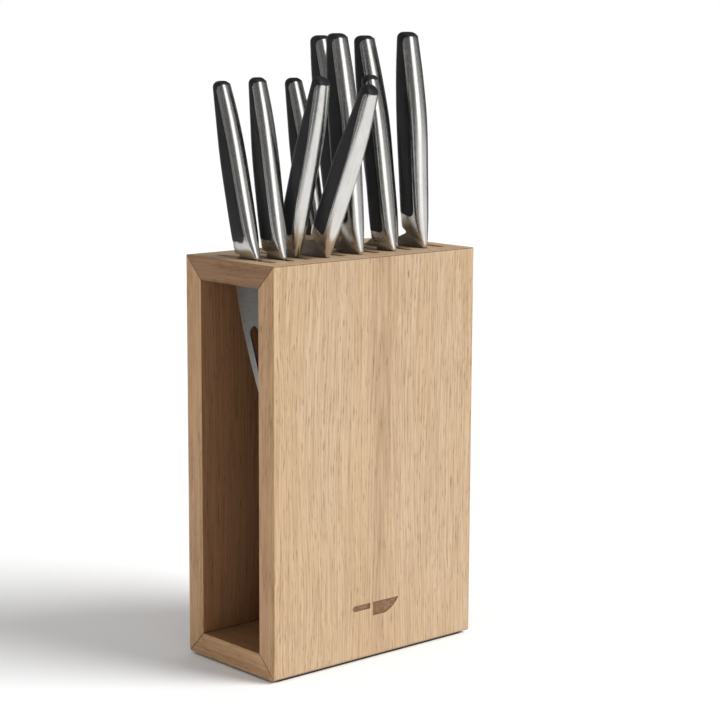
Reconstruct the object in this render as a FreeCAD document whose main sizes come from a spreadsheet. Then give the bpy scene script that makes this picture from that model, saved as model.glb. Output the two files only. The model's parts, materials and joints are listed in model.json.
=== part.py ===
# Knife block: an open oak tunnel with slots across its top board, and ten knives standing in them.
# Frame: origin under the middle of the base pad, +Z up, X along the row of slots, Y across the block.
# The near side is -Y, the open end that shows the tunnel is -X. Millimetres and degrees.
import FreeCAD, Part
import math
import os
import Sketcher

doc = FreeCAD.newDocument("knife_block")
sheet = doc.addObject("Spreadsheet::Sheet", "dims")

# One size per row: alias, value, note.
SIZES = [
    ("board_thickness", 15.0, "all four boards"),
    ("tip_room", 47.0, "free depth under the longest blade"),
    ("blade_room", 12.0, "free width of a slot beside the widest blade"),
    ("handle_gap", 1.08, "between neighbouring handles, cheek to cheek"),
    ("top_edge_round", 1.2, "eased long edges at the top"),
    ("foot_edge_round", 2.5, "eased long edges at the foot"),
    ("pad_thickness", 1.5, "non-slip pad under the block"),
    ("pad_inset", 3.0, "pad edge inside the block's edge"),
    ("pad_corner", 4.0, "pad corner radius"),
    ("slot_count", 11, "slots in the top board"),
    ("slot_width", 5.7, "slot size along X"),
    ("slot_end_distance", 13.6, "first slot's centre from the open end"),
    ("slot_inset", 0.5, "slot end inside the tunnel wall"),
    ("side_gap", 0.5, "least gap between a blade and its slot's ends"),
    ("seat_gap", 0.3, "least gap between a bolster and the top board"),
    ("mark_depth", 0.5, "engraved mark"),
    ("mark_length", 40.0, "engraved mark along X"),
    ("mark_height", 9.0, "engraved mark along Z"),
    ("mark_rise", 32.0, "mark's centre above the block's foot"),
    ("mark_grip_length", 15.2, "handle of the engraved knife"),
    ("mark_grip_height", 3.8, "handle of the engraved knife"),
    ("mark_gap", 2.4, "between the engraved knife's handle and blade"),
    ("mark_tip_length", 12.0, "curved stretch of the engraved edge"),
    ("mark_edge_round", 20.0, "radius of the engraved edge's curve"),
    ("blade_thickness", 2.0, "every blade and tang"),
    ("spine_setback", 1.4, "blade spine behind the bolster's spine"),
    ("tang_width", 6.0, "tang across the handle"),
    ("long_handle_length", 141.5, "large knives, tip of bolster to butt"),
    ("long_handle_width", 22.6, "large knives, spine to belly"),
    ("long_handle_thickness", 13.2, "large knives, cheek to cheek"),
    ("long_strip", 6.3, "large knives, steel showing on each cheek"),
    ("long_grip_start", 20.0, "large knives, foot of the grip at the strip"),
    ("long_grip_slant", 4.0, "large knives, rise of the grip's foot to the belly"),
    ("long_bolster_rise", 16.5, "large knives, bolster's edge at the belly"),
    ("long_tang_start", 8.0, "large knives"),
    ("long_tang_length", 70.0, "large knives"),
    ("short_handle_length", 115.5, "small knives, tip of bolster to butt"),
    ("short_handle_width", 19.9, "small knives, spine to belly"),
    ("short_handle_thickness", 12.0, "small knives, cheek to cheek"),
    ("short_strip", 5.5, "small knives, steel showing on each cheek"),
    ("short_grip_start", 12.0, "small knives, foot of the grip at the strip"),
    ("short_grip_slant", 3.0, "small knives, rise of the grip's foot to the belly"),
    ("short_bolster_rise", 8.0, "small knives, bolster's edge at the belly"),
    ("short_tang_start", 5.0, "small knives"),
    ("short_tang_length", 55.0, "small knives"),
    ("grip_corner", 3.0, "round at the foot of the grip beside the strip"),
    ("strip_end_round", 6.0, "rounded end of the strip below the butt"),
    ("strip_end_drop", 2.4, "strip's end below the butt"),
    ("butt_slant", 2.2, "butt falls this much from belly to spine"),
    ("root_depth", 2.0, "blade's spine inside the bolster"),
    ("heel_drop", 2.5, "heel of the edge below the bolster's tip"),
    ("shoulder_lap", 3.0, "blade's shoulder inside the bolster"),
    ("hole_set_in", 4.3, "straight side of the cheese knife's hole from the spine"),
    ("hole_radius", 4.8, "round end of the cheese knife's hole"),
    ("hole_tip_radius", 1.3, "narrow end of the cheese knife's hole"),
    ("hole_length", 40.5, "cheese knife's hole, end to end"),
    ("hole_depth", 46.3, "centre of the hole's round end below the bolster"),
]

# The knives in slot order. mouth: where the spine sits across the free width of the slot, 0 near, 1 far.
# tip: where the spine's line ends across the tunnel. cant: handle's lean past the blade, in degrees.
# nose: how far the spine drops to the point. sweep: length over which the edge runs out to the point.
KNIVES = [
    dict(name="cheese_knife", kind="short", slot=1, mouth=0.539, tip=0.010, cant=5.4,
         length=108.0, width=25.0, nose=3.0, sweep=102.0),
    dict(name="paring_knife", kind="short", slot=2, mouth=0.20, tip=0.015, cant=4.6,
         length=85.0, width=18.0, nose=4.0, sweep=50.0),
    dict(name="peeling_knife", kind="short", slot=3, mouth=0.33, tip=0.630, cant=0.5,
         length=75.0, width=18.0, nose=10.0, sweep=30.0),
    dict(name="vegetable_knife", kind="short", slot=4, mouth=0.00, tip=0.520, cant=-3.0,
         length=72.0, width=28.0, nose=12.0, sweep=34.0),
    dict(name="utility_knife", kind="short", slot=5, mouth=0.53, tip=0.090, cant=4.2,
         length=105.0, width=20.0, nose=5.0, sweep=60.0),
    dict(name="carving_knife", kind="long", slot=6, mouth=0.00, tip=0.000, cant=4.7,
         length=200.0, width=27.0, nose=6.0, sweep=90.0),
    dict(name="bread_knife", kind="long", slot=7, mouth=0.88, tip=0.070, cant=2.3,
         length=200.0, width=28.0, nose=14.0, sweep=30.0),
    dict(name="boning_knife", kind="short", slot=8, mouth=0.00, tip=0.000, cant=8.0,
         length=110.0, width=17.0, nose=2.0, sweep=70.0),
    dict(name="santoku_knife", kind="long", slot=9, mouth=0.84, tip=0.006, cant=3.9,
         length=168.0, width=40.0, nose=30.0, sweep=60.0),
    dict(name="chef_knife", kind="long", slot=10, mouth=0.108, tip=0.008, cant=2.1,
         length=200.0, width=44.0, nose=8.0, sweep=150.0),
]
KNIFE_SIZES = ("slot", "mouth", "tip", "cant", "length", "width", "nose", "sweep")

# A handle's cross-sections from the bolster's tip to past the butt, as shares of the handle's own
# length, width and thickness: height, spine's set-in, width, thickness.
SECTIONS = {
    "long": [
        (0.00, 0.00, 0.92, 0.25),
        (0.06, 0.00, 0.93, 0.54),
        (0.14, 0.00, 0.94, 0.80),
        (0.33, 0.00, 0.97, 0.93),
        (0.58, 0.01, 1.00, 1.00),
        (0.80, 0.15, 0.85, 0.95),
        (1.02, 0.36, 0.56, 0.81),
    ],
    "short": [
        (0.00, 0.00, 1.00, 0.27),
        (0.06, 0.00, 1.00, 0.58),
        (0.14, 0.00, 1.00, 0.83),
        (0.33, 0.00, 0.98, 0.96),
        (0.58, 0.015, 0.93, 1.00),
        (0.80, 0.09, 0.76, 0.93),
        (1.02, 0.26, 0.50, 0.78),
    ],
}
SPINE_ROUND = 0.22   # corner radius at the spine, as a share of the section's thickness
BELLY_ROUND = 0.42   # corner radius at the belly
BEND = 0.60          # height at which the spine starts to lean to the belly, as a share of the length
STRIP_CORNER = 0.86  # where the rounded end of the strip begins, as a share of the spine's set-in at the butt
STRIP_DROP = 0.60    # fall of that rounded end, as a share of its radius
BLADE_ROOT = 0.84    # blade's width inside the bolster, as a share of the handle's width
NOSE_BOW = (2.2, 20) # radius of the nose: this many times its drop, and this much more
NOSE_REACH = 0.98    # length of the nose, as a share of an arc that leaves the spine in line with it
EDGE_BOW = 1.5       # bow of the edge towards the point: 2 would leave the edge in line with it
REACH = 6.0          # how far a cutting solid runs past what it cuts

SIDE_VIEW = FreeCAD.Rotation(0.5, 0.5, 0.5, 0.5)   # sketch X along Y, sketch Y along Z

LONGEST = "max(dims.chef_knife_length; dims.carving_knife_length; dims.bread_knife_length)"
THICKEST = "max(dims.long_handle_thickness; dims.short_handle_thickness)"
PITCH = "(%s + dims.handle_gap)" % THICKEST
ROW = "((dims.slot_count - 1) * %s)" % PITCH
LENGTH = "(%s + 2 * dims.slot_end_distance)" % ROW
HEIGHT = "(%s + dims.tip_room + dims.board_thickness)" % LONGEST
SLOT_LENGTH = "(dims.chef_knife_width + dims.blade_room + 2 * dims.side_gap)"
HALF_WIDTH = "(%s / 2 + dims.slot_inset + dims.board_thickness)" % SLOT_LENGTH
TOE = "(2 * dims.spine_setback)"   # flat tip of the bolster, across the handle


def fill_sheet():
    rows = [row[:2] for row in SIZES]
    for knife in KNIVES:
        rows += [(knife["name"] + "_" + key, knife[key]) for key in KNIFE_SIZES]
    for line, (alias, value) in enumerate(rows, start=1):
        sheet.set("A%d" % line, alias)
        sheet.set("B%d" % line, repr(value))
        sheet.setAlias("B%d" % line, alias)
    doc.recompute()


def number(expression):
    value = sheet.evalExpression(str(expression))
    return float(getattr(value, "Value", value))


# Closed outline of straight sides and arcs, given anticlockwise. Each corner is (across, up, radius):
# the side that leaves it is straight without a radius, bulges outwards with one, inwards if negative,
# and is a half circle if the radius is "half".
def draw_outline(sketch, corners):
    points = [FreeCAD.Vector(number(c[0]), number(c[1]), 0) for c in corners]
    first = sketch.GeometryCount
    ends = []
    for index, corner in enumerate(corners):
        start = points[index]
        end = points[(index + 1) % len(points)]
        if len(corner) == 2:
            sketch.addGeometry(Part.LineSegment(start, end))
            ends.append((1, 2))
            continue
        chord = end - start
        radius = chord.Length / 2 if corner[2] == "half" else number(corner[2])
        reach = math.sqrt(max(radius ** 2 - (chord.Length / 2) ** 2, 0.0))
        side = FreeCAD.Vector(-chord.y, chord.x, 0).normalize() * reach
        centre = (start + end) / 2 + (side if radius > 0 else -side)
        begin, finish = (start, end) if radius > 0 else (end, start)
        turn = [math.atan2(p.y - centre.y, p.x - centre.x) for p in (begin, finish)]
        if turn[1] < turn[0]:
            turn[1] += 2 * math.pi
        circle = Part.Circle(centre, FreeCAD.Vector(0, 0, 1), abs(radius))
        sketch.addGeometry(Part.ArcOfCircle(circle, turn[0], turn[1]))
        ends.append((1, 2) if radius > 0 else (2, 1))
    for index, corner in enumerate(corners):
        edge = first + index
        following = first + (index + 1) % len(corners)
        start_end = ends[index][0]
        next_start = ends[(index + 1) % len(corners)][0]
        sketch.addConstraint(Sketcher.Constraint("Coincident", edge, ends[index][1], following, next_start))
        for axis, size in (("DistanceX", corner[0]), ("DistanceY", corner[1])):
            rule = Sketcher.Constraint(axis, -1, 1, edge, start_end, number(size))
            fixed = sketch.addConstraint(rule)
            sketch.setExpression("Constraints[%d]" % fixed, str(size))
        if len(corner) == 3 and corner[2] == "half":
            level = points[index].y == points[(index + 1) % len(points)].y
            axis, size = ("DistanceY", corner[1]) if level else ("DistanceX", corner[0])
            fixed = sketch.addConstraint(Sketcher.Constraint(axis, -1, 1, edge, 3, number(size)))
            sketch.setExpression("Constraints[%d]" % fixed, str(size))
        elif len(corner) == 3:
            rule = Sketcher.Constraint("Radius", edge, abs(number(corner[2])))
            fixed = sketch.addConstraint(rule)
            sketch.setExpression("Constraints[%d]" % fixed, "abs(%s)" % corner[2])


def body_sketch(body, name, role):
    sketch = body.newObject("Sketcher::SketchObject", name)
    plane = [item for item in body.Origin.OriginFeatures if item.Role == role][0]
    sketch.AttachmentSupport = [(plane, "")]
    sketch.MapMode = "FlatFace"
    return sketch


def lift_sketch(sketch, rise):
    # Moves an attached sketch along its plane's normal.
    sketch.setExpression("AttachmentOffset", "placement(vector(0; 0; %s); rotation(0; 0; 0))" % rise)


def free_sketch(name, rotation):
    sketch = doc.addObject("Sketcher::SketchObject", name)
    sketch.Placement = FreeCAD.Placement(FreeCAD.Vector(0, 0, 0), rotation)
    return sketch


def slab(name, corners, thickness):
    # A side-view outline made solid, centred on its own middle plane.
    sketch = free_sketch(name + "_outline", SIDE_VIEW)
    draw_outline(sketch, corners)
    solid = doc.addObject("Part::Extrusion", name)
    solid.Base = sketch
    solid.DirMode = "Normal"
    solid.Solid = True
    solid.Symmetric = True
    solid.setExpression("LengthFwd", str(thickness))
    return solid


def place(item, expression_y, expression_z, angle="0", expression_x="0"):
    # Moves an item to a spot and leans it about X. A positive angle takes its top towards +Y.
    spot = "vector(%s; %s; %s)" % (expression_x, expression_y, expression_z)
    turn = "rotation(vector(1; 0; 0); -(%s))" % angle
    item.setExpression("Placement", "placement(%s; %s)" % (spot, turn))


# ---- boards ----

def board(name, corners):
    body = doc.addObject("PartDesign::Body", name)
    body.Label = name
    outline = body_sketch(body, name + "_end", "YZ_Plane")
    draw_outline(outline, corners)
    pad = body.newObject("PartDesign::Pad", name + "_length")
    pad.Profile = outline
    pad.SideType = "Symmetric"
    pad.setExpression("Length", LENGTH)
    place(body, "0", "dims.pad_thickness")
    return body


def cut_slots(body):
    outline = body_sketch(body, "slot_outline", "XY_Plane")
    lift_sketch(outline, HEIGHT)
    middle = "(-%s / 2)" % ROW
    half = "dims.slot_width / 2"
    straight = "(%s / 2 - %s)" % (SLOT_LENGTH, half)
    draw_outline(outline, [
        (middle + " - " + half, "-" + straight, "half"),
        (middle + " + " + half, "-" + straight),
        (middle + " + " + half, straight, "half"),
        (middle + " - " + half, straight),
    ])
    pocket = body.newObject("PartDesign::Pocket", "slot")
    pocket.Profile = outline
    pocket.Type = "ThroughAll"
    doc.recompute()
    row = body.newObject("PartDesign::LinearPattern", "slot_row")
    row.Originals = [pocket]
    row.Direction = (outline, ["H_Axis"])
    row.setExpression("Length", ROW)
    row.setExpression("Occurrences", "dims.slot_count")
    body.Tip = row
    doc.recompute()


def engrave_mark(body):
    # A plain knife shape: a handle, and a blade with a curved edge.
    outline = body_sketch(body, "mark_outline", "XZ_Plane")
    lift_sketch(outline, HALF_WIDTH)
    left = "(-dims.mark_length / 2)"
    right = "(dims.mark_length / 2)"
    low = "(dims.mark_rise - dims.mark_height / 2)"
    high = "(dims.mark_rise + dims.mark_height / 2)"
    grip_end = "(%s + dims.mark_grip_length)" % left
    blade_start = "(%s + dims.mark_gap)" % grip_end
    grip_low = "(%s - dims.mark_grip_height)" % high
    grip_round = "(dims.mark_grip_height / 2)"
    draw_outline(outline, [
        (left + " + " + grip_round, grip_low),
        (grip_end, grip_low),
        (grip_end, high),
        (left + " + " + grip_round, high, "half"),
    ])
    draw_outline(outline, [
        (blade_start, low),
        (right + " - dims.mark_tip_length", low, "dims.mark_edge_round"),
        (right, high),
        (blade_start, high),
    ])
    pocket = body.newObject("PartDesign::Pocket", "mark")
    pocket.Profile = outline
    pocket.setExpression("Length", "dims.mark_depth")
    doc.recompute()
    return pocket


def check_cut(name, removed, expected):
    print("%s: removed %.1f mm3, expected %.1f mm3" % (name, removed, expected))
    if abs(removed - expected) > 0.01 * expected:
        raise RuntimeError(name + " did not cut what it should")


def block():
    half = HALF_WIDTH
    inside = "(%s - dims.board_thickness)" % HALF_WIDTH
    wall = "dims.board_thickness"
    under = "(%s - dims.board_thickness)" % HEIGHT
    top_bow = "dims.top_edge_round"
    foot_bow = "dims.foot_edge_round"
    top_nip = "dims.top_edge_round * (1 - sqrt(0.5))"
    foot_nip = "dims.foot_edge_round * (1 - sqrt(0.5))"
    top = board("top_board", [
        ("-" + inside, under),
        (inside, under),
        (half + " - " + top_nip, HEIGHT + " - " + top_nip, top_bow),
        (half + " - " + top_bow, HEIGHT),
        ("-" + half + " + " + top_bow, HEIGHT, top_bow),
        ("-" + half + " + " + top_nip, HEIGHT + " - " + top_nip),
    ])
    foot = board("bottom_board", [
        ("-" + half + " + " + foot_nip, foot_nip, foot_bow),
        ("-" + half + " + " + foot_bow, "0"),
        (half + " - " + foot_bow, "0", foot_bow),
        (half + " - " + foot_nip, foot_nip),
        (inside, wall),
        ("-" + inside, wall),
    ])
    near = board("near_side_board", [
        ("-" + half, foot_bow, foot_bow),
        ("-" + half + " + " + foot_nip, foot_nip),
        ("-" + inside, wall),
        ("-" + inside, under),
        ("-" + half + " + " + top_nip, HEIGHT + " - " + top_nip, top_bow),
        ("-" + half, HEIGHT + " - " + top_bow),
    ])
    far = board("far_side_board", [
        (half + " - " + foot_nip, foot_nip, foot_bow),
        (half, foot_bow),
        (half, HEIGHT + " - " + top_bow, top_bow),
        (half + " - " + top_nip, HEIGHT + " - " + top_nip),
        (inside, under),
        (inside, wall),
    ])
    doc.recompute()
    solid_top = top.Shape.Volume
    cut_slots(top)
    slot_area = number("(%s - dims.slot_width) * dims.slot_width" % SLOT_LENGTH)
    slot_area += math.pi / 4 * number("dims.slot_width") ** 2
    slots = slot_area * number("dims.board_thickness * dims.slot_count")
    check_cut("slots", solid_top - top.Shape.Volume, slots)
    solid_near = near.Shape.Volume
    mark = engrave_mark(near)
    mark_area = sum(Part.Face(wire).Area for wire in mark.Profile[0].Shape.Wires)
    check_cut("mark", solid_near - near.Shape.Volume, mark_area * number("dims.mark_depth"))
    return [top, foot, near, far]


def base_pad():
    body = doc.addObject("PartDesign::Body", "base_pad")
    body.Label = "base_pad"
    outline = body_sketch(body, "base_pad_outline", "XY_Plane")
    long_half = "(%s / 2 - dims.pad_inset)" % LENGTH
    wide_half = "(%s - dims.pad_inset)" % HALF_WIDTH
    bow = "dims.pad_corner"
    draw_outline(outline, [
        ("-" + long_half + " + " + bow, "-" + wide_half),
        (long_half + " - " + bow, "-" + wide_half, bow),
        (long_half, "-" + wide_half + " + " + bow),
        (long_half, wide_half + " - " + bow, bow),
        (long_half + " - " + bow, wide_half),
        ("-" + long_half + " + " + bow, wide_half, bow),
        ("-" + long_half, wide_half + " - " + bow),
        ("-" + long_half, "-" + wide_half + " + " + bow, bow),
    ])
    pad = body.newObject("PartDesign::Pad", "base_pad_sheet")
    pad.Profile = outline
    pad.setExpression("Length", "dims.pad_thickness")
    return body


# ---- handles, in their own frame: origin at the bolster's tip, spine at Y 0, belly at +Y ----

def handle_section(kind, index, shares):
    height, set_in, width, thickness = shares
    sketch = free_sketch("%s_section_%d" % (kind, index), FreeCAD.Rotation())
    spine = "(%g * dims.%s_handle_width)" % (set_in, kind)
    belly = "(%g * dims.%s_handle_width)" % (set_in + width, kind)
    half = "(%g * dims.%s_handle_thickness)" % (thickness / 2, kind)
    tight = "(%g * dims.%s_handle_thickness)" % (thickness * SPINE_ROUND, kind)
    full = "(%g * dims.%s_handle_thickness)" % (thickness * BELLY_ROUND, kind)
    draw_outline(sketch, [
        ("-%s + %s" % (half, tight), spine),
        ("%s - %s" % (half, tight), spine, tight),
        (half, "%s + %s" % (spine, tight)),
        (half, "%s - %s" % (belly, full), full),
        ("%s - %s" % (half, full), belly),
        ("-%s + %s" % (half, full), belly, full),
        ("-" + half, "%s - %s" % (belly, full)),
        ("-" + half, "%s + %s" % (spine, tight), tight),
    ])
    sketch.setExpression("Placement.Base.z", "%g * dims.%s_handle_length" % (height, kind))
    return sketch


def handle_blanks(kind):
    size = "dims.%s_handle_" % kind
    length, width, thickness = size + "length", size + "width", size + "thickness"
    form = doc.addObject("Part::Loft", kind + "_handle_form")
    form.Sections = [handle_section(kind, i, s) for i, s in enumerate(SECTIONS[kind])]
    form.Solid = True
    form.Ruled = False
    strip = "dims.%s_strip" % kind
    start = "dims.%s_grip_start" % kind
    slant = "dims.%s_grip_slant" % kind
    last = SECTIONS[kind][-1]
    lean = "(%g * %s)" % (last[1], width)                 # spine's set-in at the butt
    butt_belly = "(%g * %s)" % (last[1] + last[2], width)
    outer = "(%s + %g)" % (width, REACH)
    fall = "(dims.butt_slant / (%s - %s))" % (butt_belly, lean)
    end = "(%s - dims.strip_end_drop - dims.butt_slant)" % length
    shoulder = "(%s - %g * dims.strip_end_round)" % (end, STRIP_DROP)
    above = "(%s + 2 * %g)" % (length, REACH)
    along = "((%s - %g * %s) / (%g * %s))" % (shoulder, BEND, length, 1 - BEND, length)
    grip_side = slab(kind + "_grip_side", [
        ("%s + dims.grip_corner" % strip, start),
        (outer, "%s + %s * (%s - %s) / (%s - %s)" % (start, slant, outer, strip, width, strip)),
        (outer, above),
        (str(-REACH), above),
        (str(-REACH), end),
        ("%g * %s" % (STRIP_CORNER, lean), end, "-dims.strip_end_round"),
        ("%s + %s * %s" % (strip, lean, along), shoulder),
        (strip, "%g * %s" % (BEND, length)),
        (strip, "%s + dims.grip_corner" % start, "dims.grip_corner"),
    ], thickness + " * 2")
    rise = "dims.%s_bolster_rise" % kind
    toe = TOE
    side = slab(kind + "_handle_side", [
        (str(-REACH), "0"),
        (toe, "0"),
        (outer, "%s * (%s - %s) / (%s - %s)" % (rise, outer, toe, width, toe)),
        (outer, "%s + %s * (%s - %s)" % (length, fall, outer, butt_belly)),
        (str(-REACH), "%s - %s * (%s + %g)" % (length, fall, butt_belly, REACH)),
    ], thickness + " * 2")
    whole = doc.addObject("Part::Common", kind + "_handle_blank")
    whole.Base = form
    whole.Tool = side
    bolster = doc.addObject("Part::Cut", kind + "_bolster_blank")
    bolster.Base = whole
    bolster.Tool = grip_side
    grip = doc.addObject("Part::Common", kind + "_grip_blank")
    grip.Base = whole
    grip.Tool = grip_side
    return bolster, grip


# ---- blades, hanging from the bolster's tip: spine at Y spine_setback, edge at +Y, point at -Z ----

def blade_plate(knife):
    name, kind = knife["name"], knife["kind"]
    spine = "dims.spine_setback"
    edge = "(dims.spine_setback + dims.%s_width)" % name
    point = "-dims.%s_length" % name
    nose = "dims.%s_nose" % name
    sweep = "dims.%s_sweep" % name
    width = "dims.%s_width" % name
    shoulder = "(%g * dims.%s_handle_width)" % (BLADE_ROOT, kind)
    rise = "dims.%s_bolster_rise" % kind
    nose_bow = "(%g * %s + %g)" % (NOSE_BOW[0], nose, NOSE_BOW[1])
    drop = "(%s - %s)" % (width, nose)
    edge_bow = "((%s ^ 2 + %s ^ 2) / (%g * %s))" % (sweep, drop, EDGE_BOW, drop)
    nose_start = "(%s + %g * sqrt((2 * %s - %s) * %s))" % (point, NOSE_REACH, nose_bow, nose, nose)
    return slab(name + "_plate", [
        (spine, "dims.root_depth"),
        (spine, nose_start, nose_bow),
        ("%s + %s" % (spine, nose), point, edge_bow),
        (edge, "%s + %s" % (point, sweep)),
        (edge, "-dims.heel_drop"),
        (shoulder, rise + " / 2"),
        (shoulder, rise + " + dims.shoulder_lap"),
    ], "dims.blade_thickness")


def hole_cutter():
    # A teardrop with its round end up, one side along the spine and the other running in to a narrow end.
    side = "(dims.spine_setback + dims.hole_set_in)"
    top = "(-dims.hole_depth)"
    foot = "(-dims.hole_depth + dims.hole_radius + dims.hole_tip_radius - dims.hole_length)"
    return slab("hole_cutter", [
        (side, foot, "half"),
        ("%s + 2 * dims.hole_tip_radius" % side, foot),
        ("%s + 2 * dims.hole_radius" % side, top, "half"),
        (side, top),
    ], "4 * dims.blade_thickness")


def knife_lean(knife):
    # The blade leans so that its spine runs from its place in the mouth to its place at the tip.
    name = knife["name"]
    mouth = mouth_offset(knife)
    tip = "(dims.side_gap + dims.%s_tip * (%s - 2 * dims.side_gap))" % (name, SLOT_LENGTH)
    return "atan((%s - %s) / dims.%s_length)" % (mouth, tip, name)


def mouth_offset(knife):
    name = knife["name"]
    free = "(%s - 2 * dims.side_gap - dims.%s_width)" % (SLOT_LENGTH, name)
    return "(dims.side_gap + dims.%s_mouth * %s)" % (name, free)


def build_knife(knife, blanks):
    name, kind = knife["name"], knife["kind"]
    plate = blade_plate(knife)
    if name == "cheese_knife":
        pierced = doc.addObject("Part::Cut", name + "_pierced_plate")
        pierced.Base = plate
        pierced.Tool = hole_cutter()
        plate = pierced
    place(plate, "0", "0", "-dims.%s_cant * 1 deg" % name)
    tang = doc.addObject("Part::Box", name + "_tang")
    tang.setExpression("Length", "dims.blade_thickness")
    tang.setExpression("Width", "dims.tang_width")
    tang.setExpression("Height", "dims.%s_tang_length" % kind)
    tang_side = "(dims.%s_handle_width - dims.tang_width) / 2" % kind
    place(tang, tang_side, "dims.%s_tang_start" % kind, "0", "-dims.blade_thickness / 2")
    core = doc.addObject("Part::Fuse", name + "_core")
    core.Base = plate
    core.Tool = tang
    blade = doc.addObject("Part::Refine", name + "_blade")
    blade.Source = core
    pieces = [blade]
    for piece, blank in zip(("bolster", "grip"), blanks):
        part = doc.addObject("Part::Cut", "%s_%s" % (name, piece))
        part.Base = blank
        part.Tool = core
        pieces.append(part)
    lean = knife_lean(knife)
    handle_lean = "(%s + dims.%s_cant * 1 deg)" % (lean, name)
    slot_x = "-%s / 2 + (dims.%s_slot - 1) * %s" % (ROW, name, PITCH)
    tip_y = "-%s / 2 + %s - dims.spine_setback" % (SLOT_LENGTH, mouth_offset(knife))
    toe_dip = "max(0; %s * sin(%s))" % (TOE, handle_lean)
    tip_z = "dims.pad_thickness + %s + dims.seat_gap + %s" % (HEIGHT, toe_dip)
    for part, word in zip(pieces, ("blade", "bolster", "grip")):
        part.Label = "%s_%s" % (name, word)
        place(part, tip_y, tip_z, handle_lean, slot_x)
    print("%s: blade leans %.4f degrees, tip of bolster at %.3f %.3f %.3f" % (
        name, number(lean), number(slot_x), number(tip_y), number(tip_z)))
    return pieces


# ---- the whole block ----

fill_sheet()
parts = block()
parts.append(base_pad())
blanks = {kind: handle_blanks(kind) for kind in SECTIONS}
for knife in KNIVES:
    parts += build_knife(knife, blanks[knife["kind"]])
doc.recompute()

for item in doc.Objects:
    if "Invalid" in item.State or "Error" in item.State:
        raise RuntimeError("%s: %s" % (item.Name, item.State))
for part in parts:
    shape = part.Shape
    if shape.isNull() or not shape.isValid() or len(shape.Solids) != 1:
        raise RuntimeError("%s: bad shape, %d solids" % (part.Label, len(shape.Solids)))

os.makedirs("parts", exist_ok=True)
for part in parts:
    part.Shape.exportStep("parts/%s.step" % part.Label)
    print("%s: %.0f mm3" % (part.Label, part.Shape.Volume))
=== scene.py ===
# Knife block with ten knives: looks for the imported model. Sizes are in millimetres unless a note says so.
import json
import math
import bpy
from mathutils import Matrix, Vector


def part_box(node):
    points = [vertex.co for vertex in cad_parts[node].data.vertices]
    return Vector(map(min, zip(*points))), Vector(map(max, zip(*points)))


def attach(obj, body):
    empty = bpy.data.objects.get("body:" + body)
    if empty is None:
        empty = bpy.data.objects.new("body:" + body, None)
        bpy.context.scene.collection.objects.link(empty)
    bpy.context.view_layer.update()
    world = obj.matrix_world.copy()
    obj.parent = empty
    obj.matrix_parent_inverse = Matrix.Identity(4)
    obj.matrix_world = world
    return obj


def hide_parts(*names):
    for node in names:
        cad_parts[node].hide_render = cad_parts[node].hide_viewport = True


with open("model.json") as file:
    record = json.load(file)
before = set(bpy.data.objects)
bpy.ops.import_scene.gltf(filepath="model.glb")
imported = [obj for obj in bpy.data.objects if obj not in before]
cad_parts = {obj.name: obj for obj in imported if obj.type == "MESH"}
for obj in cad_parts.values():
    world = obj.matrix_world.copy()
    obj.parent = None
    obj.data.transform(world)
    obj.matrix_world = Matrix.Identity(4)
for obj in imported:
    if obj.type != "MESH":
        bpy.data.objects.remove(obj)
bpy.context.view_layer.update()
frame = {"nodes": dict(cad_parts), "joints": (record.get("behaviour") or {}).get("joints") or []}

mm = 0.001
scene = bpy.context.scene
nodes = frame["nodes"]


def deselectAll():
    if bpy.context.object and bpy.context.object.mode != "OBJECT":
        bpy.ops.object.mode_set(mode="OBJECT")
    bpy.ops.object.select_all(action="DESELECT")


def pick(piece):
    deselectAll()
    piece.select_set(True)
    bpy.context.view_layer.objects.active = piece


def applyModifier(piece, kind, **values):
    pick(piece)
    modifier = piece.modifiers.new(kind.title(), kind)
    for key, value in values.items():
        setattr(modifier, key, value)
    bpy.ops.object.modifier_apply(modifier=modifier.name)


# camera, floor and light
camera = {
    "place": (-860.7, -997.4, 411.9),
    "lens": 102.07,
    "down": 9.49,      # degrees below level
    "roll": -0.26,
    "turn": -41.54,    # degrees from +Y towards +X
}


def addCamera():
    bpy.ops.object.camera_add(location=Vector(camera["place"]) * mm)
    eye = bpy.context.object
    eye.name = "viewCamera"
    eye.rotation_euler = [math.radians(a) for a in (90 - camera["down"], camera["roll"], camera["turn"])]
    eye.data.lens = camera["lens"]
    eye.data.sensor_width = 36
    eye.data.clip_end = 100
    scene.camera = eye


studio = {
    "floorSize": 60.0,                       # metres
    "floorColour": (0.95, 0.95, 0.95, 1),
    "floorRoughness": 0.75,
    "seen": (1.0, 1.0, 1.0, 1),              # what shows behind the floor
    "light": (0.80, 0.80, 0.80, 1),
    "strength": 0.67,
    "sunFrom": (0.45, -0.62, 0.66),
    "sunStrength": 3.15,
    "sunSpread": 34,                         # degrees
    # what the steel mirrors: bright at the horizon, dim above, with upright patches (direction, outer and
    # inner edge as cosines, brightness)
    "horizon": 0.62,
    "above": 0.22,
    "aboveFrom": 0.34,
    "patches": [
        ((-1.0, -0.05, 0.0), 0.20, 0.50, 0.12),
        ((1.0, 0.12, 0.0), 0.60, 0.90, 0.07),
        ((-0.16, -0.99, 0.0), 0.91, 0.968, 1.9),
    ],
    # dark cards that only the steel mirrors: place and width in metres
    "cards": [((-0.60, 0.70, 0.45), 1.15), ((-0.95, -0.22, 0.45), 0.80), ((0.95, -0.02, 0.45), 0.75)],
    "cardColour": (0.10, 0.10, 0.10, 1),
    "cardRoughness": 0.9,
    "cardHeight": 0.9,
}


def aimAt(thing, place, target):
    thing.location = place
    thing.rotation_euler = (Vector(target) - Vector(place)).to_track_quat("-Z", "Y").to_euler()


# small helpers for materials and node trees
def newMaterial(name):
    material = bpy.data.materials.new(name)
    material.use_nodes = True
    return material, material.node_tree.nodes["Principled BSDF"]


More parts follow.
